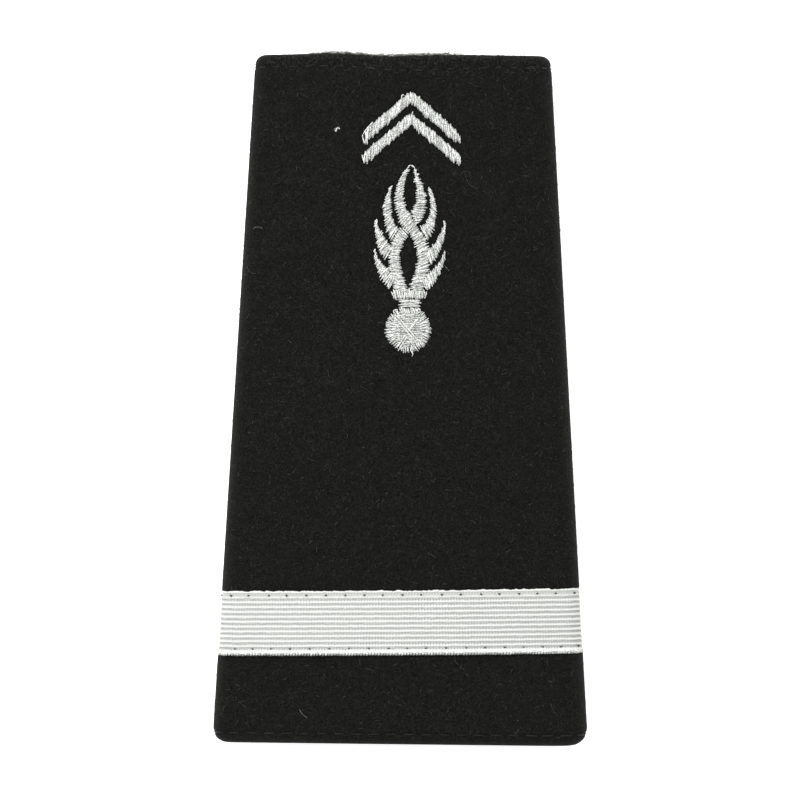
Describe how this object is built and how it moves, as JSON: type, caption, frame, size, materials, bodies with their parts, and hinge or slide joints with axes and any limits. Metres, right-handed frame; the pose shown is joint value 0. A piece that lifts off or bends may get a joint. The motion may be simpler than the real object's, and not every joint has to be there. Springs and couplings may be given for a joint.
{
  "type": "slip-on shoulder board",
  "caption": "Black felt slip-on shoulder board: a tapering sleeve for a shoulder strap, with a white ribbed ribbon, chevrons and an embroidered flaming grenade.",
  "frame": {"origin": "middle of the sleeve, on the surface that its back lies on", "axes": "+X across the sleeve to its right, +Y along it towards its narrow mouth, +Z out of its front"},
  "size_m": [0.0576, 0.1064, 0.0109],
  "materials": {
    "felt": "matt black wool felt with a short nap",
    "ribbon": "white ribbed woven ribbon with a slight sheen",
    "thread": "silver-white embroidery thread with a soft sheen"
  },
  "bodies": {
    "root": {"felt_sleeve": "felt", "rank_ribbon": "ribbon", "chevron_upper": "thread", "chevron_lower": "thread", "flame_strand_over": "thread", "flame_strand_right": "thread", "flame_strand_left": "thread", "flame_left_upper": "thread", "flame_left_middle": "thread", "flame_left_lower": "thread", "flame_right_upper": "thread", "flame_right_middle": "thread", "flame_right_lower": "thread", "bomb_collar": "thread", "bomb_neck": "thread", "bomb_ring": "thread", "bomb_ball": "thread"}
  },
  "joints": []
}
